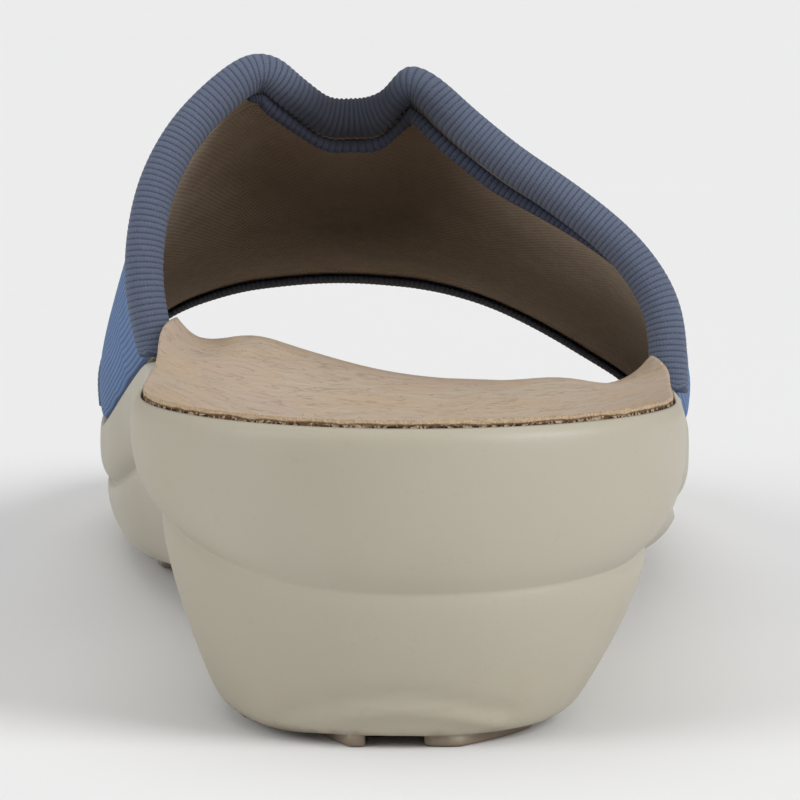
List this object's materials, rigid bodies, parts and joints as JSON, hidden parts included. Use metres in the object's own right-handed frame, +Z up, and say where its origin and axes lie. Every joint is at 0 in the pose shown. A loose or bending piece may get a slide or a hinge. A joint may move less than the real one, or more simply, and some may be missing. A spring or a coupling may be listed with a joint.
{
  "type": "slide sandal",
  "caption": "Right-foot slide sandal: moulded wedge sole, shaped leather footbed and a wide knitted strap with a notched, bound rear edge, open at toe and heel.",
  "frame": {"origin": "middle of the shoe's box, on the floor", "axes": "+Y from the heel to the toes, +Z up, +X to the outer side of the foot"},
  "size_m": [0.094, 0.25, 0.0826],
  "materials": {
    "stone_foam": "satin matt moulded foam",
    "tan_leather": "fine grain, matt, raw cut edge",
    "blue_knit": "ribbed stretch knit with a beige mesh lining",
    "slate_rib": "ribbed elastic band"
  },
  "bodies": {
    "root": {"sole": "stone_foam", "insole": "tan_leather", "upper": "blue_knit", "rear_binding": "slate_rib", "front_binding": "slate_rib"}
  },
  "joints": []
}
